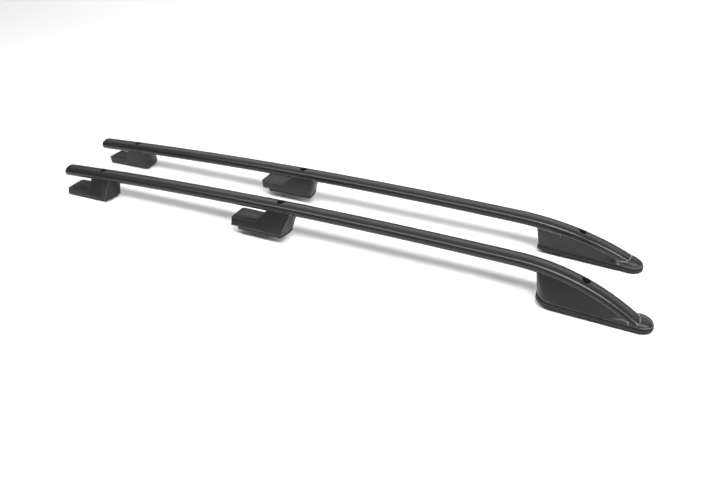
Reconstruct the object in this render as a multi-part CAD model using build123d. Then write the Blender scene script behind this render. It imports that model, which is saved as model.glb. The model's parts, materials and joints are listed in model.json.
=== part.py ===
from build123d import *
import os
from math import asin, atan2, cos, degrees, radians, sin, sqrt

# Pair of low roof side rails. Each rail is an oval bar on three moulded feet.
# Millimetres, +X to the front, +Y to the left, +Z up.
# A rail is drawn with its rear fixing at x = 0, and the pair is centred at the end.

# Pair as it stands
pair_spacing = 196.0        # between the centre planes of the two bars
pair_offset = 34.0          # the left rail stands this much further back

# Bar: four-centre oval, a long bow and a tighter front bend tangent to it
bar_width = 45
bar_height = 29.0
bar_side_radius = 12
bar_wall = 2.2
bar_rear_overhang = 128.0   # behind the rear fixing
bar_bow_radius = 14900.0
bar_top_height = 109      # highest point, before the pair is set on the floor
bar_top_x = 912.0           # where the bow is highest
front_bend_radius = 548.0
front_bend_x = 1193.0       # where the front bend starts
front_bend_roll = 21.0      # the bend's plane leans outboard by this angle
bar_end_x = 1472.0

# Fixing points, forward of the rear one
middle_fixing_x = 581.5
front_fixing_x = 1348.0
access_hole_diameter = 20.0
bolt_hole_diameter = 9.0

# Roof line that the feet follow: a shallow arc between the two ends
roof_rise = 22.8
roof_rear_x = -114.0
roof_front_x = 1529.0

# Feet in section, from the bar's centre plane
foot_outboard = 44.0
foot_inboard = 18.0
ledge_half_width = 23.4
ledge_drop = 1.8            # the ledge lies this far below the bar's centre line
saddle_clearance = 0.25

# Feet in plan: a swept front on a straight block
front_sweep_base = 9.0
front_sweep_top = 4.0
front_bow_back = 0.25       # where the bowed front is fullest, as shares of its sweep and width
front_bow_side = 0.4
inner_corner_base = 10.0
inner_corner_top = 7.0
rear_corner_outer = 2.5
rear_corner_inner = 8.0

# Rear foot, lengths along the roof from its fixing
rear_foot_back = 115.0
rear_foot_front = 33.0
rear_foot_front_top = 41.0
rear_block_back = 40.0
rear_pad_height = 19.0
rear_ramp_run = 14.0
rear_step_radius = 1.5
rear_gasket_height = 4.0

# Middle foot
middle_foot_back = 132.0
middle_foot_front = 26.0
middle_foot_front_top = 46.0
middle_block_back = 62.0
middle_pad_height = 29.0
middle_ramp_run = 36.0
middle_step_radius = 14.0
middle_gasket_height = 8.0
middle_gasket_setback = 20.0
gasket_inset = 0.6

# Front foot
front_foot_back = 96
front_foot_back_top = 118
front_gasket_height = 8.0
front_groove_height = 2.6
front_groove_depth = 3.0
front_lip = 2.5
front_inboard_rear = 4.0
front_inboard_nose = 9.0
front_outboard_nose = 47.5
front_nose_start = 130.0
front_nose_tip = 158.0
front_corner_base = 38.0
front_corner_top = 12.0
front_corner_margin = 3.0
front_panel_end = 2.0       # height left to the panel where it ends
dome_middle = 98.0
dome_side = 24.0
dome_half_width = 28
dome_height = 18
sole_thickness = 3.0
wedge_sections = 6          # sections that the twisted panel passes through
wedge_step = 1.0

# Rear end plug
plug_flange = 2.5
plug_depth = 18.0
plug_wall = 2.5
plug_clearance = 0.25

# Screws that hold each foot to the bar, driven from below
screw_diameter = 4.8
screw_length = 16.0
screw_head_diameter = 9.6
screw_head_height = 3.2
screw_bite = 5.0            # how far the tip stands inside the bar
screw_floor_gap = 1.0       # least height of a head over the gasket
screw_hole_clearance = 0.15
screw_pocket_diameter = 11.0
rear_screw_places = (-22.0, 20.0)
middle_screw_places = (-18.0, 18.0)
front_screw_places = (-60.0, 45.0)

# Values worked out from the ones above
half_width = bar_width / 2
half_height = bar_height / 2
bow_centre = (bar_top_x, bar_top_height - half_height - bar_bow_radius)
rear_angle = asin((-bar_rear_overhang - bar_top_x) / bar_bow_radius)
bend_angle = asin((front_bend_x - bar_top_x) / bar_bow_radius)
bend_forward = Vector(cos(bend_angle), 0, -sin(bend_angle))
bend_up = Vector(sin(bend_angle), 0, cos(bend_angle))
bend_inward = bend_up * -cos(radians(front_bend_roll)) + Vector(0, -sin(radians(front_bend_roll)), 0)
bend_start = Vector(bow_centre[0], 0, bow_centre[1]) + bend_up * bar_bow_radius
bend_centre = bend_start + bend_inward * front_bend_radius
bend_axis = Axis(bend_centre, bend_forward.cross(bend_inward))
rear_end = (rear_angle - bend_angle) * bar_bow_radius
roof_chord = roof_front_x - roof_rear_x
roof_middle = (roof_front_x + roof_rear_x) / 2
roof_radius = (roof_chord ** 2 / 4 + roof_rise ** 2) / (2 * roof_rise)
front_floor = front_gasket_height + front_groove_height
block_over_ledge = bar_height / 8
reach_past = 60.0           # how far long cutters run past what they cut
cut_past = 1.0              # and short ones
solve_rounds = 12           # steps in which a place along the bar is worked out
pin_seam = 20.0             # the seam of a round cutter, turned away from the bar's own seams

fixings = {"rear": 0.0, "middle": middle_fixing_x, "front": front_fixing_x}
gasket_heights = {"rear": rear_gasket_height, "middle": middle_gasket_height, "front": front_gasket_height}
screw_places = {"rear": rear_screw_places, "middle": middle_screw_places, "front": front_screw_places}


def bar_plane(place):
    """Plane square to the bar at a length along it, counted from the start of the front bend.

    Its x points left, its y up and its z to the front.
    """
    if place <= 0:
        angle = bend_angle + place / bar_bow_radius
        x = bow_centre[0] + bar_bow_radius * sin(angle)
        z = bow_centre[1] + bar_bow_radius * cos(angle)
        return Plane(origin=(x, 0, z), x_dir=(0, 1, 0), z_dir=(cos(angle), 0, -sin(angle)))
    turn = place / front_bend_radius
    along = bend_forward * (front_bend_radius * sin(turn))
    inward = bend_inward * (front_bend_radius * (1 - cos(turn)))
    forward = bend_forward * cos(turn) + bend_inward * sin(turn)
    left = Vector(0, 1, 0).rotate(bend_axis, degrees(turn))
    return Plane(origin=bend_start + along + inward, x_dir=left, z_dir=forward)


def place_at(x):
    """Length along the bar at which its centre line reaches x."""
    place = x - front_bend_x
    for _ in range(solve_rounds):
        place += x - bar_plane(place).origin.X
    return place


def roof_tilt(x):
    """Lean of the roof's normal at x, positive towards the front."""
    return asin((x - roof_middle) / roof_radius)


def roof_height(x):
    """Height of the roof arc at x."""
    return sqrt(roof_radius ** 2 - (x - roof_middle) ** 2) - (roof_radius - roof_rise)


def roof_frame(x):
    """Frame on the roof arc, with its x along the roof and its z square to it."""
    return Location((x, 0, roof_height(x)), (0, degrees(roof_tilt(x)), 0))


def bar_over(x, along=0.0):
    """Side and height of the bar's centre line in the roof frame at x, at a place along the roof."""
    tilt = roof_tilt(x)
    place = place_at(x) + along
    for _ in range(solve_rounds):
        middle = bar_plane(place).origin
        ahead, above = middle.X - x, middle.Z - roof_height(x)
        place += along - (ahead * cos(tilt) - above * sin(tilt))
    return middle.Y, ahead * sin(tilt) + above * cos(tilt)


def oval(grow=0.0):
    """Four-centre oval of the bar, grown or shrunk all round."""
    side = half_width - bar_side_radius
    crown = (side ** 2 + half_height ** 2 - bar_side_radius ** 2) / (2 * (half_height - bar_side_radius))
    turn = atan2(crown - half_height, side)
    reach = bar_side_radius + grow
    x, y = side + reach * cos(turn), reach * sin(turn)
    width, height = half_width + grow, half_height + grow
    outline = Wire([
        ThreePointArc((x, y), (0, height), (-x, y)).edge(),
        ThreePointArc((-x, y), (-width, 0), (-x, -y)).edge(),
        ThreePointArc((-x, -y), (0, -height), (x, -y)).edge(),
        ThreePointArc((x, -y), (width, 0), (x, y)).edge(),
    ])
    return make_face(outline.edges())


def along_bar(section, start, stop):
    """Solid that carries a flat section along the bar from one place to another."""
    bow_axis = Axis((bow_centre[0], 0, bow_centre[1]), (0, 1, 0))
    legs = []
    for axis, radius, first, last in (
        (bow_axis, bar_bow_radius, start, min(stop, 0)),
        (bend_axis, front_bend_radius, max(start, 0), stop),
    ):
        if last > first:
            legs.append(revolve(bar_plane(first) * section, axis, degrees((last - first) / radius)))
    return legs[0] if len(legs) == 1 else legs[0] + legs[1]


def upright(x, along, diameter, low, high):
    """Cylinder square to the roof under or over the bar's centre line, between two heights."""
    pin = Cylinder(diameter / 2, high - low, align=(Align.CENTER, Align.CENTER, Align.MIN))
    return roof_frame(x) * Pos(along, bar_over(x, along)[0], low) * Rot(0, 0, pin_seam) * pin


def below_front(height):
    """Everything under a height over the roof at the front foot."""
    length = 2 * (front_nose_tip + front_foot_back + reach_past)
    width = 2 * (foot_outboard + reach_past)
    block = Box(length, width, bar_top_height + reach_past, align=(Align.CENTER, Align.CENTER, Align.MAX))
    return roof_frame(front_fixing_x) * Pos(0, 0, height) * block


def screw_span(name, along):
    """Heights of a screw's seat and tip: the tip inside the bar, the head clear of the gasket."""
    tip = bar_over(fixings[name], along)[1] - half_height + bar_wall + screw_bite
    lowest = gasket_heights[name] + screw_head_height + screw_floor_gap
    return max(tip - screw_length, lowest), tip


def make_bar():
    """Hollow bar with an access hole above and a bolt hole below at each fixing."""
    front_end = place_at(bar_end_x)
    holes = []
    for name, x in fixings.items():
        middle = bar_over(x)[1]
        holes.append(upright(x, 0, bolt_hole_diameter, middle - bar_height, middle))
        holes.append(upright(x, 0, access_hole_diameter, middle, middle + bar_height))
        for place in screw_places[name]:
            height = bar_over(x, place)[1]
            pilot = screw_diameter + 2 * screw_hole_clearance
            holes.append(upright(x, place, pilot, height - bar_height, height))
    bar = along_bar(oval(), rear_end, front_end) - along_bar(oval(-bar_wall), rear_end, front_end)
    return bar - holes - below_front(front_floor + sole_thickness + saddle_clearance)


def make_plug():
    """Moulded plug in the rear end: a flange on a hollow spigot."""
    inside = bar_wall + plug_clearance
    flange = along_bar(oval(), rear_end - plug_flange, rear_end)
    spigot = along_bar(oval(-inside), rear_end, rear_end + plug_depth)
    hollow = along_bar(oval(-inside - plug_wall), rear_end, rear_end + plug_depth)
    return flange + (spigot - hollow)


def foot_plan(back, front, outboard, inboard, sweep, inner, grow=0.0):
    """Plan of a foot: straight sides, a bowed front that is swept back outboard."""
    nose_y = inboard - inner
    bow = (front - sweep * front_bow_back, -outboard + front_bow_side * (outboard + nose_y))
    arc_middle = inner * (1 - sqrt(0.5))
    outline = [
        Line((-back, -outboard), (front - sweep, -outboard)),
        ThreePointArc((front - sweep, -outboard), bow, (front, nose_y)),
        ThreePointArc((front, nose_y), (front - arc_middle, inboard - arc_middle), (front - inner, inboard)),
        Line((front - inner, inboard), (-back, inboard)),
        Line((-back, inboard), (-back, -outboard)),
    ]
    plan = make_face(Curve() + outline)
    rear = plan.vertices().group_by(Axis.X)[0].sort_by(Axis.Y)
    plan = fillet(rear[0], rear_corner_outer)
    rear = plan.vertices().sort_by_distance((-back, inboard))
    plan = fillet(rear[0], rear_corner_inner)
    return offset(plan, grow) if grow else plan


def trim_to_bar(foot, x, back, front):
    """Foot cut to its ledge, and to the saddle that the bar lies in."""
    start, stop = place_at(x - back - reach_past), place_at(x + front + reach_past)
    above = Pos(0, reach_past / 2 - ledge_drop) * Rectangle(2 * reach_past, reach_past)
    return foot - along_bar(above + oval(saddle_clearance), start, stop)


def drill_foot(foot, name):
    """Bolt bore and the two screw pockets, from below."""
    x = fixings[name]
    floor = gasket_heights[name]
    holes = [upright(x, 0, bolt_hole_diameter, floor - cut_past, bar_over(x)[1])]
    for place in screw_places[name]:
        seat = screw_span(name, place)[0]
        shank = screw_diameter + 2 * screw_hole_clearance
        holes.append(upright(x, place, screw_pocket_diameter, floor - cut_past, seat))
        holes.append(upright(x, place, shank, floor - cut_past, bar_over(x, place)[1]))
    return foot - holes


def make_block_foot(name, back, front, front_top, block_back, pad, ramp, step_radius):
    """Rear or middle foot: a low pad behind a block that rises to the bar."""
    x = fixings[name]
    floor = gasket_heights[name]
    ledge = bar_over(x)[1] - ledge_drop
    lower = foot_plan(back, front, foot_outboard, foot_inboard, front_sweep_base, inner_corner_base)
    upper = foot_plan(
        back, front_top, ledge_half_width, ledge_half_width, front_sweep_top, inner_corner_top
    )
    block = loft([Pos(0, 0, floor) * lower, Pos(0, 0, ledge + block_over_ledge) * upper], ruled=True)
    step = Polyline(
        (-back - reach_past, pad),
        (-block_back, pad),
        (-block_back + ramp, ledge),
        (-block_back + ramp, ledge + reach_past),
        (-back - reach_past, ledge + reach_past),
        close=True,
    )
    step_face = make_face(step)
    heel = step_face.vertices().sort_by_distance((-block_back, pad))
    step_face = fillet(heel[0], step_radius)
    cut = extrude(Plane.XZ * step_face, reach_past, both=True)
    foot = drill_foot(roof_frame(x) * (block - cut), name)
    return trim_to_bar(foot, x, back, front_top)


def make_block_gasket(name, back, front):
    """Rubber pad under the rear or middle foot, with the bolt's hole."""
    plan = foot_plan(
        back, front, foot_outboard, foot_inboard, front_sweep_base, inner_corner_base, -gasket_inset
    )
    pad = roof_frame(fixings[name]) * extrude(plan, gasket_heights[name])
    return pad - upright(fixings[name], 0, bolt_hole_diameter, -cut_past, gasket_heights[name] + cut_past)


def front_side(along, rear, nose):
    """Side of the front foot's plan at a place along it, straight from rear to nose."""
    share = (along + front_foot_back) / (front_nose_start + front_foot_back)
    return rear + (nose - rear) * share


def front_plan(grow):
    """Plan of the front foot, from its rounded rear corners to its round nose."""
    nose_middle = (front_inboard_nose - front_outboard_nose) / 2
    right_rear, left_rear = (-front_foot_back, -foot_outboard), (-front_foot_back, front_inboard_rear)
    right_nose = (front_nose_start, -front_outboard_nose)
    left_nose = (front_nose_start, front_inboard_nose)
    outline = [
        Line(left_rear, right_rear),
        Line(right_rear, right_nose),
        ThreePointArc(right_nose, (front_nose_tip, nose_middle), left_nose),
        Line(left_nose, left_rear),
    ]
    plan = make_face(Curve() + outline)
    plan = fillet(plan.vertices().sort_by_distance(right_rear)[0], front_corner_base - front_corner_margin)
    plan = fillet(plan.vertices().sort_by_distance(left_rear)[0], rear_corner_inner)
    return offset(plan, grow) if grow else plan


def front_corner_tool():
    """Envelope that rounds the rear of the front foot, wider below than above."""
    plans = []
    for back, outboard, inboard, radius, height in (
        (front_foot_back, foot_outboard, front_inboard_rear, front_corner_base, front_floor - cut_past),
        (front_foot_back_top, ledge_half_width, ledge_half_width, front_corner_top, bar_top_height),
    ):
        low_y, high_y = -outboard - front_corner_margin, inboard + front_corner_margin
        plan = Pos(0, (low_y + high_y) / 2) * Rectangle(2 * back, high_y - low_y)
        plan = fillet(plan.vertices().sort_by_distance((-back, low_y))[0], radius)
        plan = fillet(plan.vertices().sort_by_distance((-back, high_y))[0], rear_corner_inner)
        plans.append(Pos(0, 0, height) * plan)
    envelope = loft(plans, ruled=True)
    width = 2 * (foot_outboard + reach_past)
    rear_half = Pos(-front_foot_back, 0, front_floor) * Box(front_foot_back, width, 2 * bar_top_height)
    return rear_half - envelope


def front_wedge():
    """Body of the front foot: its panels run from the sole up to the ledges at the bar."""
    base = front_floor + sole_thickness
    last = front_nose_start
    while bar_over(front_fixing_x, last)[1] - ledge_drop < base + front_panel_end:
        last -= wedge_step
    faces = []
    first = -front_foot_back_top - front_corner_margin
    for number in range(wedge_sections):
        along = first + (last - first) * number / (wedge_sections - 1)
        side, height = bar_over(front_fixing_x, along)
        corners = (
            (front_side(along, -foot_outboard, -front_outboard_nose), base),
            (front_side(along, front_inboard_rear, front_inboard_nose), base),
            (side + ledge_half_width, height - ledge_drop),
            (side - ledge_half_width, height - ledge_drop),
        )
        plane = Plane(origin=(along, 0, 0), x_dir=(0, 1, 0), z_dir=(1, 0, 0))
        faces.append(plane * make_face(Polyline(*corners, close=True)))
    return loft(faces)


def front_dome():
    """Rounded nose of the front foot, high enough to swallow the end of the bar."""
    ball = scale(Sphere(1), by=(front_nose_tip - dome_middle, dome_half_width, dome_height))
    ball = Pos(dome_middle, -dome_side, front_floor) * ball
    return ball & Pos(0, 0, front_floor) * extrude(front_plan(0), reach_past)


def make_front_foot():
    """Front foot: a long wedge with a twisted outboard panel and a rounded nose."""
    x = front_fixing_x
    plate = Pos(0, 0, front_floor) * extrude(front_plan(0), sole_thickness)
    sole = Pos(0, 0, front_gasket_height) * extrude(front_plan(-front_groove_depth), front_groove_height)
    body = front_wedge() + plate + front_dome() + sole - front_corner_tool()
    foot = drill_foot(roof_frame(x) * body, "front")
    start = place_at(x - front_foot_back - reach_past)
    socket = along_bar(oval(saddle_clearance), start, place_at(bar_end_x) + saddle_clearance)
    return foot - (socket - below_front(front_floor + sole_thickness))


def make_front_gasket():
    """Rubber base of the front foot, with a lip all round."""
    x = front_fixing_x
    pad = roof_frame(x) * extrude(front_plan(front_lip), front_gasket_height)
    return pad - upright(x, 0, bolt_hole_diameter, -cut_past, front_gasket_height + cut_past)


def make_screws(name):
    """The screws of one foot, as a group of separate solids."""
    x = fixings[name]
    screws = []
    for place in screw_places[name]:
        seat, tip = screw_span(name, place)
        shank = upright(x, place, screw_diameter, seat, tip)
        head = upright(x, place, screw_head_diameter, seat - screw_head_height, seat)
        screws.append(shank + head)
    return Compound(children=screws)


rail = {
    "bar": make_bar(),
    "rear_plug": make_plug(),
    "rear_foot": make_block_foot(
        "rear", rear_foot_back, rear_foot_front, rear_foot_front_top,
        rear_block_back, rear_pad_height, rear_ramp_run, rear_step_radius,
    ),
    "rear_gasket": make_block_gasket("rear", rear_foot_back, rear_foot_front),
    "middle_foot": make_block_foot(
        "middle", middle_foot_back, middle_foot_front, middle_foot_front_top,
        middle_block_back, middle_pad_height, middle_ramp_run, middle_step_radius,
    ),
    "middle_gasket": make_block_gasket(
        "middle", middle_foot_back - middle_gasket_setback, middle_foot_front
    ),
    "front_foot": make_front_foot(),
    "front_gasket": make_front_gasket(),
    "rear_foot_screws": make_screws("rear"),
    "middle_foot_screws": make_screws("middle"),
    "front_foot_screws": make_screws("front"),
}

# Right rail as drawn, left rail as its mirror image
pair = {}
for name, piece in rail.items():
    pair["right_" + name] = Pos(pair_offset / 2, -pair_spacing / 2, 0) * piece
    pair["left_" + name] = Pos(-pair_offset / 2, pair_spacing / 2, 0) * mirror(piece, about=Plane.XZ)

# Origin at the bottom centre of the pair
boxes = [piece.bounding_box() for piece in pair.values()]
low = [min(getattr(box.min, axis) for box in boxes) for axis in "XYZ"]
high = [max(getattr(box.max, axis) for box in boxes) for axis in "XYZ"]
to_origin = Pos(-(low[0] + high[0]) / 2, -(low[1] + high[1]) / 2, -low[2])
os.makedirs("parts", exist_ok=True)
for name, piece in pair.items():
    export_step(to_origin * piece, "parts/" + name + ".step")
    print(name, len(piece.solids()), round(piece.volume / 1000, 1))
print("size", [round(b - a, 2) for a, b in zip(low, high)], "x shift", round((low[0] + high[0]) / 2, 3))
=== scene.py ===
"""Dresses the pair of roof side rails for the studio: coated bars, moulded feet, rubber, plated screws.

Lengths are in metres, +X is the front, +Y the left and +Z up. A rail is worked out with its rear fixing
at x = 0, and its Side carries it to its place in the pair, the left one as a mirror image.
"""
import json
import logging
from dataclasses import dataclass
from enum import Enum
from math import asin, cos, pi, radians, sin, sqrt, tau

import bmesh
import bpy
from mathutils import Matrix, Vector


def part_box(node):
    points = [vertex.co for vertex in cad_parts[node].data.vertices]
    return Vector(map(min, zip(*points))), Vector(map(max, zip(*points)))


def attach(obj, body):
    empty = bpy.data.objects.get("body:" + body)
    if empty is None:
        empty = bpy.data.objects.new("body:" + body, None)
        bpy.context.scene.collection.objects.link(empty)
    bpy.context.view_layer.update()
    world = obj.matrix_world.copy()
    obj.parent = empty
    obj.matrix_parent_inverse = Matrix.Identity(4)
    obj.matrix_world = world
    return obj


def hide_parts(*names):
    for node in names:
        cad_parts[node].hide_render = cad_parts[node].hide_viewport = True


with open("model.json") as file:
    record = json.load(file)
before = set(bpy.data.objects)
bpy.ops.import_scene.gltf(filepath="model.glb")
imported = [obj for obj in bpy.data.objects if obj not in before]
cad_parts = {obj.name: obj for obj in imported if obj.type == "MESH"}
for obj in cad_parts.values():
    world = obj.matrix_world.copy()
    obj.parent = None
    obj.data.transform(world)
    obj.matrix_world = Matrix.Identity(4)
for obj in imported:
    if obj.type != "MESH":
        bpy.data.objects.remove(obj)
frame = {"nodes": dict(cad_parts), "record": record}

log = logging.getLogger("rails")
MM = 0.001
FIXINGS = {"rear": 0.0, "middle": 0.5815, "front": 1.348}       # x of the roof bolt in each foot
SCREWS = {"rear": (-0.022, 0.020), "middle": (-0.018, 0.018), "front": (-0.060, 0.045)}     # from that bolt
BAR_WALL = 0.0022
SOLVE_ROUNDS = 12               # enough for a place on the bar to settle
SHARP = radians(30)             # an edge that turns further than this is drawn sharp
MERGE = 2e-6                    # corners closer than this are one
FLAT = radians(0.05)            # faces that turn less than this are one
EDGE_GAIN = 8.0                 # from the bend of a rounded edge to the mask of painted edge highlights
EDGE_SMOOTHING = 0.12                   # how much lower the roughness is under the painted edge highlights
DARK_SHARE = 0.82               # the darkest tone's share of a finish's colour
DUST = (0.42, 0.41, 0.39, 1)


# Node trees

class Graph:
    """Short-hand for putting nodes in a tree and joining them."""

    def __init__(self, tree: bpy.types.NodeTree) -> None:
        """Keeps the tree that the nodes go into.

        Args:
            tree: a shader, group or geometry tree.
        """
        self.tree = tree

    def put(self, kind: str, inputs: dict | None = None, **settings) -> bpy.types.Node:
        """Adds a node.

        Args:
            kind: the node's type name.
            inputs: a value or a socket to join, for each input by name or number.
            **settings: properties of the node, set before its inputs.

        Returns:
            The new node.
        """
        node = self.tree.nodes.new(kind)
        for name, value in settings.items():
            setattr(node, name, value)
        for key, value in (inputs or {}).items():
            self.feed(node.inputs[key], value)
        return node

    def feed(self, socket: bpy.types.NodeSocket, value) -> None:
        """Joins a socket to an input, or sets the input's own value.

        Args:
            socket: the input.
            value: an output socket, a number or a vector.
        """
        if isinstance(value, bpy.types.NodeSocket):
            self.tree.links.new(value, socket)
        else:
            socket.default_value = value

    def math(self, operation: str, *values) -> bpy.types.NodeSocket:
        """Result of a Math node on these values."""
        kind = "ShaderNodeMath"
        return self.put(kind, dict(enumerate(values)), operation=operation).outputs[0]

    def scaled(self, vector, factor) -> bpy.types.NodeSocket:
        """A vector times a factor."""
        node = self.put("ShaderNodeVectorMath", {0: vector}, operation="SCALE")
        self.feed(node.inputs["Scale"], factor)
        return node.outputs[0]

    def added(self, *vectors) -> bpy.types.NodeSocket:
        """Sum of several vectors."""
        total = vectors[0]
        for vector in vectors[1:]:
            total = self.put("ShaderNodeVectorMath", {0: total, 1: vector}, operation="ADD").outputs[0]
        return total

    def vector(self, x, y, z) -> bpy.types.NodeSocket:
        """A vector of three values."""
        return self.put("ShaderNodeCombineXYZ", {0: x, 1: y, 2: z}).outputs[0]

    def choose(self, condition, when_false, when_true, kind: str = "FLOAT") -> bpy.types.NodeSocket:
        """One of two values, by a condition, in a geometry tree.

        Args:
            condition: a boolean socket.
            when_false: the value where it doesn't hold.
            when_true: the value where it holds.
            kind: the values' type.

        Returns:
            The chosen value.
        """
        inputs = {"Switch": condition, "False": when_false, "True": when_true}
        return self.put("GeometryNodeSwitch", inputs, input_type=kind).outputs[0]

    def above(self, a, b) -> bpy.types.NodeSocket:
        """True where a is above b, in a geometry tree."""
        return self.put("FunctionNodeCompare", {0: a, 1: b}, operation="GREATER_THAN").outputs[0]

    def clamped(self, value) -> bpy.types.NodeSocket:
        """A value held between 0 and 1."""
        return self.put("ShaderNodeMath", {0: value, 1: 0.0}, operation="ADD", use_clamp=True).outputs[0]

    def noise(self, place, scale, detail: float, roughness: float = 0.5) -> bpy.types.NodeSocket:
        """Noise from 0 to 1, with a scale in spots per metre."""
        inputs = {"Vector": place, "Scale": scale, "Detail": detail, "Roughness": roughness}
        return self.put("ShaderNodeTexNoise", inputs).outputs[0]

    def cut(self, body, tool) -> bpy.types.NodeSocket:
        """What is left of a body outside a tool, in a geometry tree."""
        inputs = {"Self Intersection": True, "Mesh 1": body, "Mesh 2": tool}
        return self.put("GeometryNodeMeshBoolean", inputs, operation="DIFFERENCE", solver="EXACT").outputs[0]

    def held(self, thing) -> bpy.types.NodeSocket:
        """Geometry of an object, in a geometry tree."""
        return self.put("GeometryNodeObjectInfo", {"Object": thing}).outputs["Geometry"]

    def dressed(self, shape, finish) -> bpy.types.NodeSocket:
        """Real geometry of a shape with a finish on it, in a geometry tree."""
        real = self.put("GeometryNodeRealizeInstances", {"Geometry": shape}).outputs[0]
        return self.put("GeometryNodeSetMaterial", {"Geometry": real, "Material": finish}).outputs[0]


Opened = tuple[Graph, bpy.types.Node, bpy.types.Node]


def open_group(name: str, kind: str, ins: list[tuple], outs: list[tuple]) -> Opened:
    """Starts a node group with named inputs and outputs.

    Args:
        name: the group's name.
        kind: ShaderNodeTree or GeometryNodeTree.
        ins: name, socket type and default of each input.
        outs: name and socket type of each output.

    Returns:
        The graph, its input node and its output node.
    """
    tree = bpy.data.node_groups.new(name, kind)
    for label, socket, default in ins:
        made = tree.interface.new_socket(name=label, in_out="INPUT", socket_type="NodeSocket" + socket)
        if default is not None:
            made.default_value = default
    for label, socket in outs:
        tree.interface.new_socket(name=label, in_out="OUTPUT", socket_type="NodeSocket" + socket)
    graph = Graph(tree)
    return graph, graph.put("NodeGroupInput"), graph.put("NodeGroupOutput")


def set_inputs(modifier: bpy.types.Modifier, values: dict) -> None:
    """Sets a Geometry Nodes modifier's named inputs by their identifiers.

    Args:
        modifier: the modifier, with its tree in place.
        values: the value for each input's name.
    """
    for item in modifier.node_group.interface.items_tree:
        if item.in_out == "INPUT" and item.name in values:
            modifier[item.identifier] = values[item.name]


def baked(holder: bpy.types.Object, name: str) -> bpy.types.Object:
    """Plain mesh object of what a holder's modifiers give, which then takes the holder's place.

    Args:
        holder: the object with the live modifiers.
        name: the new object's name.

    Returns:
        The baked object, with no modifier.
    """
    graph = bpy.context.evaluated_depsgraph_get()
    mesh = bpy.data.meshes.new_from_object(holder.evaluated_get(graph), depsgraph=graph)
    mesh.name = name
    piece = bpy.data.objects.new(name, mesh)
    bpy.context.scene.collection.objects.link(piece)
    bpy.data.objects.remove(holder)
    return piece


# Finishes

def make_grain_group() -> bpy.types.NodeTree:
    """Fine moulded or sprayed grain, with its height and a slow change of tone."""
    ins = [("Grain size", "Float", 0.0006), ("Tone size", "Float", 0.05), ("Pits", "Float", 0.3)]
    outs = [("Height", "Float"), ("Tone", "Float")]
    graph, start, end = open_group("Surface grain", "ShaderNodeTree", ins, outs)
    place = graph.put("ShaderNodeTexCoord").outputs["Object"]
    fine = graph.math("DIVIDE", 1.0, start.outputs["Grain size"])
    cells = graph.put("ShaderNodeTexVoronoi", {"Vector": place, "Scale": fine})
    pits = graph.math("MULTIPLY", cells.outputs["Distance"], start.outputs["Pits"])
    graph.feed(end.inputs["Height"], graph.math("SUBTRACT", graph.noise(place, fine, detail=3.0), pits))
    slow = graph.math("DIVIDE", 1.0, start.outputs["Tone size"])
    graph.feed(end.inputs["Tone"], graph.noise(place, slow, detail=4.0, roughness=0.6))
    return graph.tree


def make_edge_highlight_group() -> bpy.types.NodeTree:
    """Mask of a piece's edges, where a light line is painted on as a highlight and the finish is made a
    little smoother, from how a rounded edge bends the face.
    """
    ins = [("Strength", "Float", 0.8), ("Break up", "Float", 0.4), ("Radius", "Float", 0.0012),
           ("Spot size", "Float", 0.006)]
    graph, start, end = open_group("Rubbed edges", "ShaderNodeTree", ins, [("Mask", "Float")])
    # The light lines that this mask lays on are painted highlights, standing where a rounded edge would
    # catch the light.
    rounded = graph.put("ShaderNodeBevel", {"Radius": start.outputs["Radius"]}, samples=6).outputs[0]
    face = graph.put("ShaderNodeNewGeometry").outputs["Normal"]
    along = graph.put("ShaderNodeVectorMath", {0: rounded, 1: face}, operation="DOT_PRODUCT")
    bend = graph.math("SUBTRACT", 1.0, along.outputs["Value"])
    edge = graph.clamped(graph.math("MULTIPLY", bend, EDGE_GAIN))
    place = graph.put("ShaderNodeTexCoord").outputs["Object"]
    scale = graph.math("DIVIDE", 1.0, start.outputs["Spot size"])
    spots = graph.math("MULTIPLY", graph.noise(place, scale, detail=2.0), start.outputs["Break up"])
    # Painted edge highlight: the edge mask, broken up by noise spots.
    edge_shine = graph.math("MULTIPLY", edge, graph.math("SUBTRACT", start.outputs["Strength"], spots))
    graph.feed(end.inputs["Mask"], graph.clamped(edge_shine))
    return graph.tree


def make_dust_group() -> bpy.types.NodeTree:
    """Mask of the thin dust that lies on what faces up."""
    ins = [("Spot size", "Float", 0.03), ("Amount", "Float", 0.1)]
    graph, start, end = open_group("Settled dust", "ShaderNodeTree", ins, [("Mask", "Float")])
    normal = graph.put("ShaderNodeNewGeometry").outputs["Normal"]
    up = graph.put("ShaderNodeSeparateXYZ", {0: normal}).outputs[2]
    lying = graph.math("MULTIPLY", graph.math("POWER", up, 2.0), graph.math("GREATER_THAN", up, 0.0))
    place = graph.put("ShaderNodeTexCoord").outputs["Object"]
    slow = graph.math("DIVIDE", 1.0, start.outputs["Spot size"])
    dust = graph.math("MULTIPLY", lying, graph.noise(place, slow, detail=6.0, roughness=0.7))
    graph.feed(end.inputs["Mask"], graph.math("MULTIPLY", dust, start.outputs["Amount"]))
    return graph.tree


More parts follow.
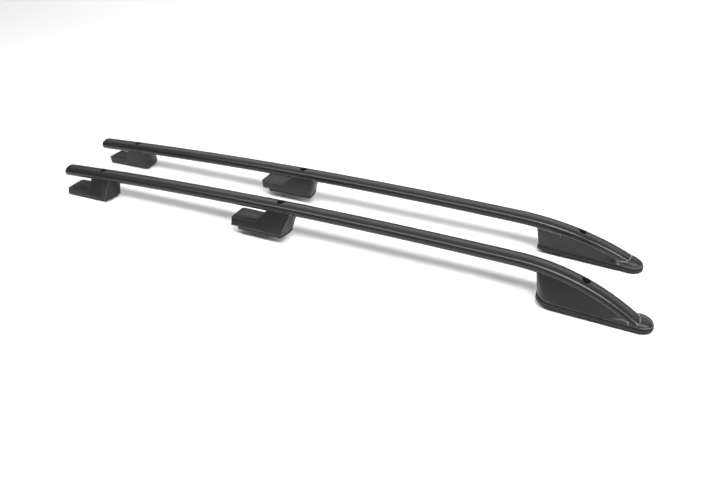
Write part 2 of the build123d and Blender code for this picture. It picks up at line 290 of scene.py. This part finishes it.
@dataclass(frozen=True)
class Finish:
    """A finish with fine grain, highlights painted along its edges and a breath of dust."""

    name: str
    colour: tuple[float, float, float]
    # the light colour painted along the edges as a highlight
    painted_edge_highlight: tuple[float, float, float]
    roughness: float
    spread: float
    grain_size: float
    grain_depth: float
    pits: float = 0.3
    # strength of the mask that lays on the painted edge highlight
    edge: float = 0.8
    metallic: float = 0.0
    dust: float = 0.05
    level: float = 0.5

    def material(self) -> bpy.types.Material:
        """The finish's material, made the first time that it is asked for.

        Returns:
            A material that reads Object coordinates only.
        """
        if self.name in bpy.data.materials:
            return bpy.data.materials[self.name]
        made = bpy.data.materials.new(self.name)
        made.use_nodes = True
        graph = Graph(made.node_tree)
        shader = made.node_tree.nodes["Principled BSDF"]
        grain = Groups.GRAIN.put_in(graph, {"Grain size": self.grain_size, "Pits": self.pits})
        # Mask of the edges where a highlight is painted.
        edge = Groups.EDGE.put_in(graph, {"Strength": self.edge}).outputs["Mask"]
        dust = Groups.DUST.put_in(graph, {"Amount": self.dust}).outputs["Mask"]
        dark = (*(c * DARK_SHARE for c in self.colour), 1)
        tone = self.mixed(graph, grain.outputs["Tone"], dark, (*self.colour, 1))
        # Painted highlight: a light colour laid along the edges by the edge mask, in place of the light that
        # rounded edges catch.
        painted_edge_highlight = self.mixed(graph, edge, tone, (*self.painted_edge_highlight, 1))
        swing = graph.math("MULTIPLY", graph.math("SUBTRACT", grain.outputs["Tone"], 0.5), self.spread)
        rough = graph.math("ADD", swing, self.roughness)
        # Under the painted edge highlights the roughness is also lowered.
        edge_shine = graph.math("MULTIPLY", edge, EDGE_SMOOTHING)
        relief = {"Height": grain.outputs["Height"], "Distance": self.grain_depth}
        inputs = {
            "Base Color": self.mixed(graph, dust, painted_edge_highlight, DUST),
            "Roughness": graph.math("SUBTRACT", rough, edge_shine),
            "Normal": graph.put("ShaderNodeBump", relief).outputs[0],
            "Metallic": self.metallic,
            "Specular IOR Level": self.level,
        }
        for name, value in inputs.items():
            graph.feed(shader.inputs[name], value)
        return made

    @staticmethod
    def mixed(graph: Graph, factor, a, b) -> bpy.types.NodeSocket:
        """Colour between a and b, by a factor."""
        node = graph.put("ShaderNodeMix", data_type="RGBA")
        for number, value in ((0, factor), (6, a), (7, b)):
            graph.feed(node.inputs[number], value)
        return node.outputs[2]


class Groups(Enum):
    """The shader groups that the finishes share, each built once."""

    GRAIN = ("Surface grain", make_grain_group)
    EDGE = ("Rubbed edges", make_edge_highlight_group)
    DUST = ("Settled dust", make_dust_group)

    def put_in(self, graph: Graph, inputs: dict) -> bpy.types.Node:
        """Places the group in a material's tree with values of its own."""
        name, make = self.value
        tree = bpy.data.node_groups.get(name) or make()
        return graph.put("ShaderNodeGroup", inputs, node_tree=tree)


class Dress(Enum):
    """Finish of each kind of piece, under the record's name for it."""

    # The second colour of each finish is a light line painted along its edges as a highlight.
    bar = Finish(
        "satin black powder coat", colour=(0.0145, 0.0147, 0.0150), painted_edge_highlight=(0.05, 0.05, 0.051),
        roughness=0.26, spread=0.04, grain_size=0.0009, grain_depth=1e-6, pits=0.15, edge=0.3, dust=0.01,
        level=0.37)
    plastic = Finish(
        "fine grained black moulding", colour=(0.0125, 0.0125, 0.0127), painted_edge_highlight=(0.36, 0.36, 0.362),
        roughness=0.36, spread=0.10, grain_size=0.0009, grain_depth=3e-5, pits=0.5, dust=0.02, level=0.32)
    rubber = Finish(
        "black gasket rubber", colour=(0.011, 0.011, 0.011), painted_edge_highlight=(0.03, 0.03, 0.03), roughness=0.55,
        spread=0.12, grain_size=0.0012, grain_depth=1.2e-5, dust=0.03, level=0.3)
    steel = Finish(
        "zinc plated steel", colour=(0.56, 0.56, 0.57), painted_edge_highlight=(0.70, 0.70, 0.70), roughness=0.30,
        spread=0.15, grain_size=0.0015, grain_depth=3e-6, pits=0.1, metallic=1.0, dust=0.0)

    def put_on(self, piece: bpy.types.Object) -> None:
        """Gives a piece this finish alone.

        Args:
            piece: a mesh object.
        """
        piece.data.materials.clear()
        piece.data.materials.append(self.value.material())


# The rail's lines

@dataclass(frozen=True)
class Line:
    """Centre line of the bar: a long bow, then a tighter front bend that leans outboard."""

    bow_radius: float = 14.9
    top: tuple[float, float] = (0.912, 0.109)
    half_width: float = 0.0225
    half_height: float = 0.0145
    side_radius: float = 0.012
    rear_overhang: float = 0.128
    bend_radius: float = 0.548
    bend_x: float = 1.193
    bend_roll: float = radians(21)
    end_x: float = 1.472

    @property
    def slope(self) -> float:
        """Slope of the bow where the front bend starts."""
        return asin((self.bend_x - self.top[0]) / self.bow_radius)

    @property
    def rear(self) -> float:
        """Length from the start of the front bend back to the bar's rear end."""
        return (self.slope + asin((self.rear_overhang + self.top[0]) / self.bow_radius)) * self.bow_radius

    def on_bow(self, angle: float) -> Vector:
        """Centre of the bar on the bow, at an angle in front of its highest point."""
        middle = self.top[1] - self.half_height - self.bow_radius
        return Vector((self.top[0] + self.bow_radius * sin(angle), 0, middle + self.bow_radius * cos(angle)))

    def axes(self) -> tuple[Vector, Vector]:
        """Forward and inward directions where the front bend starts."""
        forward = Vector((cos(self.slope), 0, -sin(self.slope)))
        up = Vector((sin(self.slope), 0, cos(self.slope)))
        return forward, -up * cos(self.bend_roll) + Vector((0, -sin(self.bend_roll), 0))

    def point(self, place: float) -> Vector:
        """Centre of the bar at a length from the start of the front bend, negative on the bow."""
        if place <= 0:
            return self.on_bow(self.slope + place / self.bow_radius)
        forward, inward = self.axes()
        turn = place / self.bend_radius
        return self.on_bow(self.slope) + (forward * sin(turn) + inward * (1 - cos(turn))) * self.bend_radius

    def place_at(self, x: float) -> float:
        """Length along the bar at which its centre line reaches x."""
        place = x - self.bend_x
        for _ in range(SOLVE_ROUNDS):
            place += x - self.point(place).x
        return place


@dataclass(frozen=True)
class Roof:
    """Shallow arc of the roof under the feet."""

    rise: float = 0.0228
    rear_x: float = -0.114
    front_x: float = 1.529

    @property
    def radius(self) -> float:
        """Radius of the arc."""
        return ((self.front_x - self.rear_x) ** 2 / 4 + self.rise ** 2) / (2 * self.rise)

    def frame(self, x: float) -> Matrix:
        """Frame on the roof at x, with its x along the roof and its z square to it."""
        ahead = x - (self.front_x + self.rear_x) / 2
        height = sqrt(self.radius ** 2 - ahead ** 2) - (self.radius - self.rise)
        return Matrix.Translation((x, 0, height)) @ Matrix.Rotation(asin(ahead / self.radius), 4, "Y")

    def bar_over(self, line: Line, x: float, along: float = 0.0) -> Vector:
        """The bar's centre in the roof frame at x, at a place along the roof."""
        back = self.frame(x).inverted()
        place = line.place_at(x) + along
        for _ in range(SOLVE_ROUNDS):
            local = back @ line.point(place)
            place += along - local.x
        return local


@dataclass(frozen=True)
class Side:
    """One side of the pair, and what carries a rail drawn at x = 0 to it."""

    name: str
    mirrored: bool

    def carry(self, roof: Roof) -> Matrix:
        """Matrix to the row frame, found from the record's middle bolt.

        Args:
            roof: the roof's arc.

        Returns:
            A move, with a mirror in the left rail.
        """
        bolts = {m["name"]: m for m in frame["record"]["mounts"]}
        bolt = bolts[self.name + "_middle_bolt"]
        there = Vector(bolt["pos_m"])
        here = roof.frame(FIXINGS["middle"]) @ Vector((0, 0, bolt["dims"]["length_mm"] * MM / 2))
        flip = Matrix.Diagonal((1, -1 if self.mirrored else 1, 1, 1))
        return Matrix.Translation(there - flip @ here) @ flip


# Pieces

def link(name: str, data: bpy.types.ID) -> bpy.types.Object:
    """Object of a mesh, a lamp or a camera, in the scene."""
    made = bpy.data.objects.new(name, data)
    bpy.context.scene.collection.objects.link(made)
    return made


def solid(name: str, bm: bmesh.types.BMesh) -> bpy.types.Object:
    """Object of a finished bmesh, which is freed."""
    mesh = bpy.data.meshes.new(name)
    bm.to_mesh(mesh)
    bm.free()
    return link(name, mesh)


def round_edges(piece: bpy.types.Object, width: float, segments: int, limit: float) -> bpy.types.Modifier:
    """Live bevel on the edges that turn further than a limit."""
    bevel = piece.modifiers.new("Edges", "BEVEL")
    bevel.width, bevel.segments, bevel.limit_method, bevel.angle_limit = width, segments, "ANGLE", limit
    return bevel


def deviation(piece: bpy.types.Object, node: str) -> float:
    """Largest difference between the box of a piece and that of a CAD node, in millimetres."""
    low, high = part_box(node)
    points = [v.co for v in piece.data.vertices]
    own_low = Vector([min(p[k] for p in points) for k in range(3)])
    own_high = Vector([max(p[k] for p in points) for k in range(3)])
    return max(abs(a - b) for a, b in zip((*low, *high), (*own_low, *own_high))) / MM


@dataclass
class Bar:
    """Oval tube swept along the rail's line by a node tree, with its holes cut."""

    line: Line
    roof: Roof
    access_radius: float = 0.010
    bolt_radius: float = 0.0045
    bolt_gap: float = 0.001             # from the bolt hole's tool to the bar's centre
    hole_segments: int = 64
    front_floor: float = 0.01385        # the bar is cut off level at this height over the roof
    block: tuple[float, float, float] = (0.6, 0.2, 0.2)     # the block that cuts it there
    steps_along: int = 180
    steps_round: int = 96
    edge: float = 0.0004
    edge_steps: int = 2
    break_angle: float = radians(45)

    def tree(self) -> bpy.types.NodeTree:
        """Tree that sweeps the hollow oval along the bow and the bend and cuts it.

        Returns:
            A geometry tree with named inputs for the bar's sizes.
        """
        name = "Swept oval bar"
        if name in bpy.data.node_groups:
            return bpy.data.node_groups[name]
        kinds = {"Geometry": "Geometry", "Bend start": "Vector", "Steps along": "Int", "Steps round": "Int",
                 "Cutters": "Object", "Finish": "Material"}
        numbers = ("Bow radius", "Bend radius", "Bow slope", "Bend roll", "Rear reach", "Front reach",
                   "Half width", "Half height", "Side radius", "Wall")
        kinds.update(dict.fromkeys(numbers, "Float"))
        ins = [(label, kind, None) for label, kind in kinds.items()]
        graph, start, end = open_group(name, "GeometryNodeTree", ins, [("Geometry", "Geometry")])
        sizes = start.outputs
        path = self.path_nodes(graph, sizes)
        tubes = []
        for shrink in (0.0, sizes["Wall"]):
            section = self.oval_nodes(graph, sizes, shrink)
            inputs = {"Curve": path, "Profile Curve": section, "Fill Caps": True}
            tubes.append(graph.put("GeometryNodeCurveToMesh", inputs).outputs[0])
        holed = graph.cut(graph.cut(*tubes), graph.held(sizes["Cutters"]))
        graph.feed(end.inputs[0], graph.dressed(holed, sizes["Finish"]))
        return graph.tree

    @staticmethod
    def path_nodes(graph: Graph, sizes) -> bpy.types.NodeSocket:
        """Nodes for the centre line and its upward normals.

        Args:
            graph: the tree being built.
            sizes: the group's inputs by name.

        Returns:
            The curve.
        """
        line = graph.put("GeometryNodeCurvePrimitiveLine")
        inputs = {"Curve": line.outputs[0], "Count": sizes["Steps along"]}
        points = graph.put("GeometryNodeResampleCurve", inputs)
        index = graph.put("GeometryNodeInputIndex").outputs[0]
        share = graph.math("DIVIDE", index, graph.math("SUBTRACT", sizes["Steps along"], 1.0))
        reach = graph.math("ADD", sizes["Rear reach"], sizes["Front reach"])
        place = graph.math("SUBTRACT", graph.math("MULTIPLY", share, reach), sizes["Rear reach"])
        bow_place = graph.math("MINIMUM", place, 0.0)
        bend_place = graph.math("MAXIMUM", place, 0.0)
        slope = sizes["Bow slope"]
        angle = graph.math("ADD", slope, graph.math("DIVIDE", bow_place, sizes["Bow radius"]))
        bow_x = graph.math("SUBTRACT", graph.math("SINE", angle), graph.math("SINE", slope))
        bow_z = graph.math("SUBTRACT", graph.math("COSINE", angle), graph.math("COSINE", slope))
        bow = graph.scaled(graph.vector(bow_x, 0.0, bow_z), sizes["Bow radius"])
        turn = graph.math("DIVIDE", bend_place, sizes["Bend radius"])
        level = graph.math("SUBTRACT", 1.0, graph.math("COSINE", turn))
        sine, cosine = graph.math("SINE", slope), graph.math("COSINE", slope)
        lean, rise = graph.math("SINE", sizes["Bend roll"]), graph.math("COSINE", sizes["Bend roll"])
        forward = graph.vector(cosine, 0.0, graph.math("MULTIPLY", sine, -1.0))
        up = graph.vector(sine, 0.0, cosine)
        sideways = graph.vector(0.0, graph.math("MULTIPLY", lean, -1.0), 0.0)
        inward = graph.added(graph.scaled(up, graph.math("MULTIPLY", rise, -1.0)), sideways)
        bend = graph.added(graph.scaled(forward, graph.math("SINE", turn)), graph.scaled(inward, level))
        spot = graph.added(sizes["Bend start"], bow, graph.scaled(bend, sizes["Bend radius"]))
        moved = graph.put("GeometryNodeSetPosition", {"Geometry": points.outputs[0], "Position": spot})
        cross = graph.put("ShaderNodeVectorMath", {0: forward, 1: inward}, operation="CROSS_PRODUCT")
        inputs = {"Vector": up, "Center": (0, 0, 0), "Axis": cross.outputs[0], "Angle": turn}
        rolled = graph.put("ShaderNodeVectorRotate", inputs).outputs[0]
        on_bow = graph.vector(graph.math("SINE", angle), 0.0, graph.math("COSINE", angle))
        normal = graph.choose(graph.above(place, 0.0), on_bow, rolled, "VECTOR")
        upright = graph.put("GeometryNodeSetCurveNormal", {"Curve": moved.outputs[0]}, mode="FREE")
        graph.feed(upright.inputs["Normal"], normal)
        return upright.outputs[0]

    @staticmethod
    def oval_nodes(graph: Graph, sizes, shrink) -> bpy.types.NodeSocket:
        """Nodes for the four-centre oval section.

        Args:
            graph: the tree being built.
            sizes: the group's inputs by name.
            shrink: how far the section lies inside the outer one.

        Returns:
            The closed section curve.
        """
        side = graph.math("SUBTRACT", sizes["Half width"], sizes["Side radius"])
        rise = graph.math("SUBTRACT", sizes["Half height"], sizes["Side radius"])
        squares = graph.math("ADD", graph.math("MULTIPLY", side, side), graph.math("MULTIPLY", rise, rise))
        crown = graph.math("DIVIDE", squares, graph.math("MULTIPLY", rise, 2.0))
        crown = graph.math("ADD", crown, sizes["Side radius"])
        drop = graph.math("SUBTRACT", crown, sizes["Half height"])
        turn = graph.math("ARCTAN2", drop, side)
        index = graph.put("GeometryNodeInputIndex").outputs[0]
        angle = graph.math("DIVIDE", graph.math("MULTIPLY", index, tau), sizes["Steps round"])
        c, s = graph.math("COSINE", angle), graph.math("SINE", angle)
        on_crown = graph.above(graph.math("ABSOLUTE", s), graph.math("SINE", turn))
        side_reach = graph.math("SUBTRACT", sizes["Side radius"], shrink)
        crown_reach = graph.math("SUBTRACT", crown, shrink)
        shift = graph.math("MULTIPLY", graph.math("SIGN", c), side)
        sink = graph.math("MULTIPLY", graph.math("SIGN", s), drop)
        side_x = graph.math("ADD", shift, graph.math("MULTIPLY", c, side_reach))
        side_y = graph.math("MULTIPLY", s, side_reach)
        crown_x = graph.math("MULTIPLY", c, crown_reach)
        crown_y = graph.math("SUBTRACT", graph.math("MULTIPLY", s, crown_reach), sink)
        x = graph.choose(on_crown, side_x, crown_x)
        y = graph.choose(on_crown, side_y, crown_y)
        inputs = {"Resolution": sizes["Steps round"]}
        ring = graph.put("GeometryNodeCurvePrimitiveCircle", inputs, mode="RADIUS").outputs[0]
        inputs = {"Geometry": ring, "Position": graph.vector(y, x, 0.0)}
        return graph.put("GeometryNodeSetPosition", inputs).outputs[0]

    def cutters(self) -> bpy.types.Object:
        """Round tools for the holes and the block under the front end, as one mesh."""
        bm = bmesh.new()
        reach = 2 * self.line.half_height
        for x in FIXINGS.values():
            centre = self.roof.bar_over(self.line, x)
            tools = ((self.access_radius, centre.z, centre.z + reach),
                     (self.bolt_radius, centre.z - reach, centre.z - self.bolt_gap))
            for radius, low, high in tools:
                spot = self.roof.frame(x) @ Matrix.Translation((0, centre.y, (low + high) / 2))
                bmesh.ops.create_cone(bm, cap_ends=True, segments=self.hole_segments, radius1=radius,
                                      radius2=radius, depth=high - low, matrix=spot)
        under = Matrix.Translation((0, 0, self.front_floor - self.block[2] / 2))
        spot = self.roof.frame(FIXINGS["front"]) @ under
        bmesh.ops.create_cube(bm, size=1.0, matrix=spot @ Matrix.Diagonal((*self.block, 1)))
        return solid("bar cutters", bm)

    def build(self, side: Side) -> bpy.types.Object:
        """Makes one bar and lets it stand for its CAD node.

        Args:
            side: the side of the pair.

        Returns:
            The finished bar.
        """
        tools = self.cutters()
        holder = link("bar holder", bpy.data.meshes.new("bar holder"))
        sweep = holder.modifiers.new("Swept oval bar", "NODES")
        sweep.node_group = self.tree()
        line = self.line
        set_inputs(sweep, {
            "Bow radius": line.bow_radius, "Bend radius": line.bend_radius, "Bow slope": line.slope,
            "Bend roll": line.bend_roll, "Rear reach": line.rear, "Front reach": line.place_at(line.end_x),
            "Bend start": line.on_bow(line.slope), "Half width": line.half_width,
            "Half height": line.half_height, "Side radius": line.side_radius, "Wall": BAR_WALL,
            "Steps along": self.steps_along, "Steps round": self.steps_round, "Cutters": tools,
            "Finish": Dress.bar.value.material(),
        })
        round_edges(holder, self.edge, self.edge_steps, self.break_angle)
        piece = baked(holder, side.name + "_bar_tube")
        bpy.data.objects.remove(tools)
        place(piece, side.carry(self.roof), side.mirrored)
        return finish_piece(piece, Dress.bar, side.name + "_bar")


def place(piece: bpy.types.Object, matrix: Matrix, turned: bool) -> None:
    """Puts a mesh in its place, and turns its faces out again after a mirror.

    Args:
        piece: the object, whose place goes into its mesh.
        matrix: the move.
        turned: whether the move is a mirror.
    """
    piece.data.transform(matrix)
    if turned:
        piece.data.flip_normals()


def finish_piece(piece: bpy.types.Object, dress: Dress, *nodes: str) -> bpy.types.Object:
    """Shades and dresses a piece that stands for CAD nodes, and reports it.

    Args:
        piece: the piece, in place.
        dress: its finish.
        *nodes: the CAD nodes that it stands for.

    Returns:
        The same piece.
    """
    piece.data.shade_smooth()
    piece.data.set_sharp_from_angle(angle=SHARP)
    dress.put_on(piece)
    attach(piece, "root")
    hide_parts(*nodes)
    off = max(deviation(piece, node) for node in nodes)
    log.info("%s: %d faces, box within %.2f mm of the CAD", piece.name, len(piece.data.polygons), off)
    return piece


@dataclass
class Moulding:
    """A CAD node's own shape, with its edges broken by a bevel as far as its small faces allow."""

    part: str
    dress: Dress
    edge: float
    title: str
    edge_steps: int = 3
    break_angle: float = radians(28)

    def build(self, side: Side) -> bpy.types.Object:
        """Makes the bevelled copy and lets it stand for the node.

        Args:
            side: the side of the pair.

        Returns:
            The finished piece.
        """
        node = f"{side.name}_{self.part}"
        bm = bmesh.new()
        bm.from_mesh(frame["nodes"][node].data)
        bmesh.ops.remove_doubles(bm, verts=bm.verts, dist=MERGE)
        bmesh.ops.dissolve_limit(bm, angle_limit=FLAT, verts=bm.verts, edges=bm.edges)
        holder = solid(node + "_copy", bm)
        bevel = round_edges(holder, self.edge, self.edge_steps, self.break_angle)
        bevel.miter_outer = "MITER_ARC"
        piece = baked(holder, f"{side.name}_{self.title}")
        return finish_piece(piece, self.dress, node)


@dataclass
class Screws:
    """Pan head screws that hold the feet to the bar from below, placed by a node tree."""

    line: Line
    roof: Roof
    radius: float = 0.0024
    root: float = 0.8                   # the thread's root as a share of its crest
    length: float = 0.016
    head_radius: float = 0.0048
    head_height: float = 0.0032
    head_shape: tuple = ((0.0, 1.0), (0.55, 0.97), (0.88, 0.72), (1.0, 0.3), (1.0, 0.0))
    recess_shape: tuple[float, float] = (1.1, 0.24)         # a slot's length and width in head radii
    bite: float = 0.005                 # how far the tip stands inside the bar
    pitch: float = 0.0016
    thread_end: float = 0.6             # pitches that stay plain at each end
    thread_crest: float = 0.4           # pitches from a root to its crest
    run_out: float = 1.5                # pitches from the last root to the tip
    segments: int = 24
    merge: float = 1e-6
    seed: int = 4

    def profile(self) -> list[tuple[float, float]]:
        """Radius and height down the screw's side, with the head's underside at z = 0."""
        root = self.radius * self.root
        points = [(r * self.head_radius, -h * self.head_height) for r, h in self.head_shape]
        points.append((root, 0.0))
        height = self.pitch * self.thread_end
        while height < self.length - self.pitch * self.run_out:
            crest = self.pitch * self.thread_crest
            points += [(root, height), (self.radius, height + crest), (root, height + 2 * crest)]
            height += self.pitch
        return points + [(root, self.length - self.pitch * self.thread_end), (0.0, self.length)]

    def screw(self) -> bpy.types.Object:
        """One screw, turned from its profile: rounded head and thread."""
        bm = bmesh.new()
        loop = [bm.verts.new((r, 0, z)) for r, z in self.profile()]
        edges = [bm.edges.new(pair) for pair in zip(loop, loop[1:])]
        bmesh.ops.spin(bm, geom=loop + edges, cent=(0, 0, 0), axis=(0, 0, 1), angle=tau,
                       steps=self.segments, use_merge=True)
        bmesh.ops.remove_doubles(bm, verts=bm.verts, dist=self.merge)
        bmesh.ops.recalc_face_normals(bm, faces=bm.faces)
        return solid("screw", bm)

    def recess(self) -> bpy.types.Object:
        """Cross-shaped tool for the head."""
        bm = bmesh.new()
        length, width = (share * self.head_radius for share in self.recess_shape)
        slot = Matrix.Diagonal((length, width, self.head_height, 1))
        there = Matrix.Translation((0, 0, -self.head_height))
        for turn in (0.0, pi / 2):
            bmesh.ops.create_cube(bm, size=1.0, matrix=there @ Matrix.Rotation(turn, 4, "Z") @ slot)
        return solid("recess", bm)

    @staticmethod
    def tree() -> bpy.types.NodeTree:
        """Tree that sinks the recess into the screw and sets one on each point, along its axis."""
        name = "Set screws"
        if name in bpy.data.node_groups:
            return bpy.data.node_groups[name]
        ins = [("Geometry", "Geometry", None), ("Screw", "Object", None), ("Recess", "Object", None),
               ("Finish", "Material", None), ("Size", "Float", 1.0), ("Turn spread", "Float", 3.1),
               ("Seed", "Int", 4)]
        graph, start, end = open_group(name, "GeometryNodeTree", ins, [("Geometry", "Geometry")])
        given = start.outputs
        driven = graph.cut(graph.held(given["Screw"]), graph.held(given["Recess"]))
        stored = graph.put("GeometryNodeInputNamedAttribute", {"Name": "axis"}, data_type="FLOAT_VECTOR")
        aimed = graph.put("FunctionNodeAlignRotationToVector", {"Vector": stored.outputs[0]}, axis="Z")
        chance = graph.put("FunctionNodeRandomValue", {"Seed": given["Seed"]}, data_type="FLOAT")
        turn = graph.math("MULTIPLY", chance.outputs[1], given["Turn spread"])
        spun = graph.put("FunctionNodeAxisAngleToRotation", {"Axis": (0, 0, 1), "Angle": turn}).outputs[0]
        inputs = {"Rotation": aimed.outputs[0], "Rotate By": spun}
        both = graph.put("FunctionNodeRotateRotation", inputs, rotation_space="LOCAL").outputs[0]
        inputs = {"Points": given[0], "Instance": driven, "Rotation": both,
                  "Scale": graph.vector(*[given["Size"]] * 3)}
        copies = graph.put("GeometryNodeInstanceOnPoints", inputs).outputs[0]
        graph.feed(end.inputs[0], graph.dressed(copies, given["Finish"]))
        return graph.tree

    def build(self, side: Side) -> list[bpy.types.Object]:
        """Makes the screws of each foot of one rail.

        Args:
            side: the side of the pair.

        Returns:
            One object for each foot.
        """
        made = []
        for foot, x in FIXINGS.items():
            up = self.roof.frame(x).to_3x3() @ Vector((0, 0, 1))
            points = []
            for along in SCREWS[foot]:
                centre = self.roof.bar_over(self.line, x, along)
                seat = centre.z - self.line.half_height + BAR_WALL + self.bite - self.length
                points.append(self.roof.frame(x) @ Vector((along, centre.y, seat)))
            mesh = bpy.data.meshes.new("screw points")
            mesh.from_pydata(points, [], [])
            for item in mesh.attributes.new("axis", "FLOAT_VECTOR", "POINT").data:
                item.vector = up
            holder = link("screw points", mesh)
            screw, recess = self.screw(), self.recess()
            setter = holder.modifiers.new("Set screws", "NODES")
            setter.node_group = self.tree()
            finish = Dress.steel.value.material()
            set_inputs(setter, {"Screw": screw, "Recess": recess, "Finish": finish, "Seed": self.seed})
            piece = baked(holder, f"{side.name}_{foot}_screws")
            for used in (screw, recess):
                bpy.data.objects.remove(used)
            place(piece, side.carry(self.roof), side.mirrored)
            made.append(finish_piece(piece, Dress.steel, f"{side.name}_{foot}_foot_screws"))
        return made


# Studio

@dataclass(frozen=True)
class Lamp:
    """A soft area light aimed at the pair."""

    name: str
    where: tuple[float, float, float]
    size: tuple[float, float]
    power: float
    aim: tuple[float, float, float] = (0.0, 0.0, 0.05)

    def hang(self) -> None:
        """Adds the lamp to the scene."""
        data = bpy.data.lights.new(self.name, "AREA")
        data.shape, data.size, data.size_y, data.energy = "RECTANGLE", *self.size, self.power
        lamp = link(self.name, data)
        lamp.location = self.where
        ray = Vector(self.aim) - Vector(self.where)
        lamp.rotation_euler = ray.to_track_quat("-Z", "Y").to_euler()


@dataclass
class Studio:
    """Pale floor, soft light and the camera at the photograph's angle."""

    eye: tuple[float, float, float] = (0.6780, -1.3954, 0.9280)
    azimuth: float = radians(22.8)
    elevation: float = radians(32.08)
    roll: float = radians(0.41)
    lens: float = 32.943
    sensor: float = 36.0
    sight: float = 60.0
    floor_reach: float = 14.0
    floor_white: float = 0.93
    floor_roughness: float = 0.9
    floor_level: float = 0.1
    surround: tuple[float, float, float, float] = (0.98, 0.99, 1.0, 1)
    surround_strength: float = 0.17
    lamps: tuple[Lamp, ...] = (
        Lamp("key strip", (0.0, -1.25, 2.55), (4.4, 0.85), 96.0),
        Lamp("front strip", (1.3, -1.2, 2.4), (1.2, 0.7), 28.0, (0.5, 0.0, 0.0)),
        Lamp("overhead", (-0.6, 0.75, 2.6), (5.0, 2.0), 13.0),
        Lamp("far ceiling", (0.0, 4.2, 3.0), (10.0, 5.0), 240.0, (0.0, 4.2, 0.0)),
        Lamp("front end", (2.4, -0.9, 1.3), (0.8, 0.8), 31.0, (0.5, -0.1, 0.0)),
    )

    def floor(self) -> None:
        """Lays the pale floor under the pair."""
        bm = bmesh.new()
        bmesh.ops.create_grid(bm, x_segments=1, y_segments=1, size=self.floor_reach)
        ground = solid("studio_floor", bm)
        paper = bpy.data.materials.new("white paper floor")
        paper.use_nodes = True
        shader = paper.node_tree.nodes["Principled BSDF"]
        shader.inputs["Base Color"].default_value = (*[self.floor_white] * 3, 1)
        shader.inputs["Roughness"].default_value = self.floor_roughness
        shader.inputs["Specular IOR Level"].default_value = self.floor_level
        ground.data.materials.append(paper)

    def camera(self) -> None:
        """Puts the camera where the photograph was taken from."""
        level = Vector((cos(self.azimuth), sin(self.azimuth), 0.0))
        away = Vector((sin(self.azimuth), -cos(self.azimuth), 0.0))
        back = away * cos(self.elevation) + Vector((0.0, 0.0, sin(self.elevation)))
        rise = back.cross(level)
        right = level * cos(self.roll) + rise * sin(self.roll)
        up = rise * cos(self.roll) - level * sin(self.roll)
        data = bpy.data.cameras.new("studio_camera")
        data.lens, data.sensor_width, data.clip_end = self.lens, self.sensor, self.sight
        camera = link("studio_camera", data)
        turn = Matrix((right, up, back)).transposed().to_4x4()
        camera.matrix_world = Matrix.Translation(self.eye) @ turn
        bpy.context.scene.camera = camera

    def light(self) -> None:
        """Sets the even white surround and hangs the lamps."""
        world = bpy.data.worlds.new("studio")
        world.use_nodes = True
        surround = world.node_tree.nodes["Background"]
        surround.inputs["Color"].default_value = self.surround
        surround.inputs["Strength"].default_value = self.surround_strength
        bpy.context.scene.world = world
        bpy.context.scene.view_settings.view_transform = "Standard"
        for lamp in self.lamps:
            lamp.hang()

    def build(self) -> None:
        """Sets the whole studio."""
        self.floor()
        self.camera()
        self.light()


def main() -> None:
    """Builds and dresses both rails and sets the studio."""
    logging.basicConfig(level=logging.INFO, format="%(name)s: %(message)s")
    bpy.context.view_layer.update()
    line, roof = Line(), Roof()
    bar, screws = Bar(line, roof), Screws(line, roof)
    mouldings = (
        Moulding("rear_plug", Dress.plastic, 0.0005, "rear_cap"),
        Moulding("rear_foot", Dress.plastic, 0.0009, "rear_moulding"),
        Moulding("middle_foot", Dress.plastic, 0.0012, "middle_moulding"),
        Moulding("front_foot", Dress.plastic, 0.0012, "front_moulding"),
        Moulding("rear_gasket", Dress.rubber, 0.0008, "rear_pad"),
        Moulding("middle_gasket", Dress.rubber, 0.0010, "middle_pad"),
        Moulding("front_gasket", Dress.rubber, 0.0012, "front_pad"),
    )
    for side in (Side("right", False), Side("left", True)):
        bar.build(side)
        for moulding in mouldings:
            moulding.build(side)
        screws.build(side)
    Studio().build()


if __name__ == "__main__":
    main()
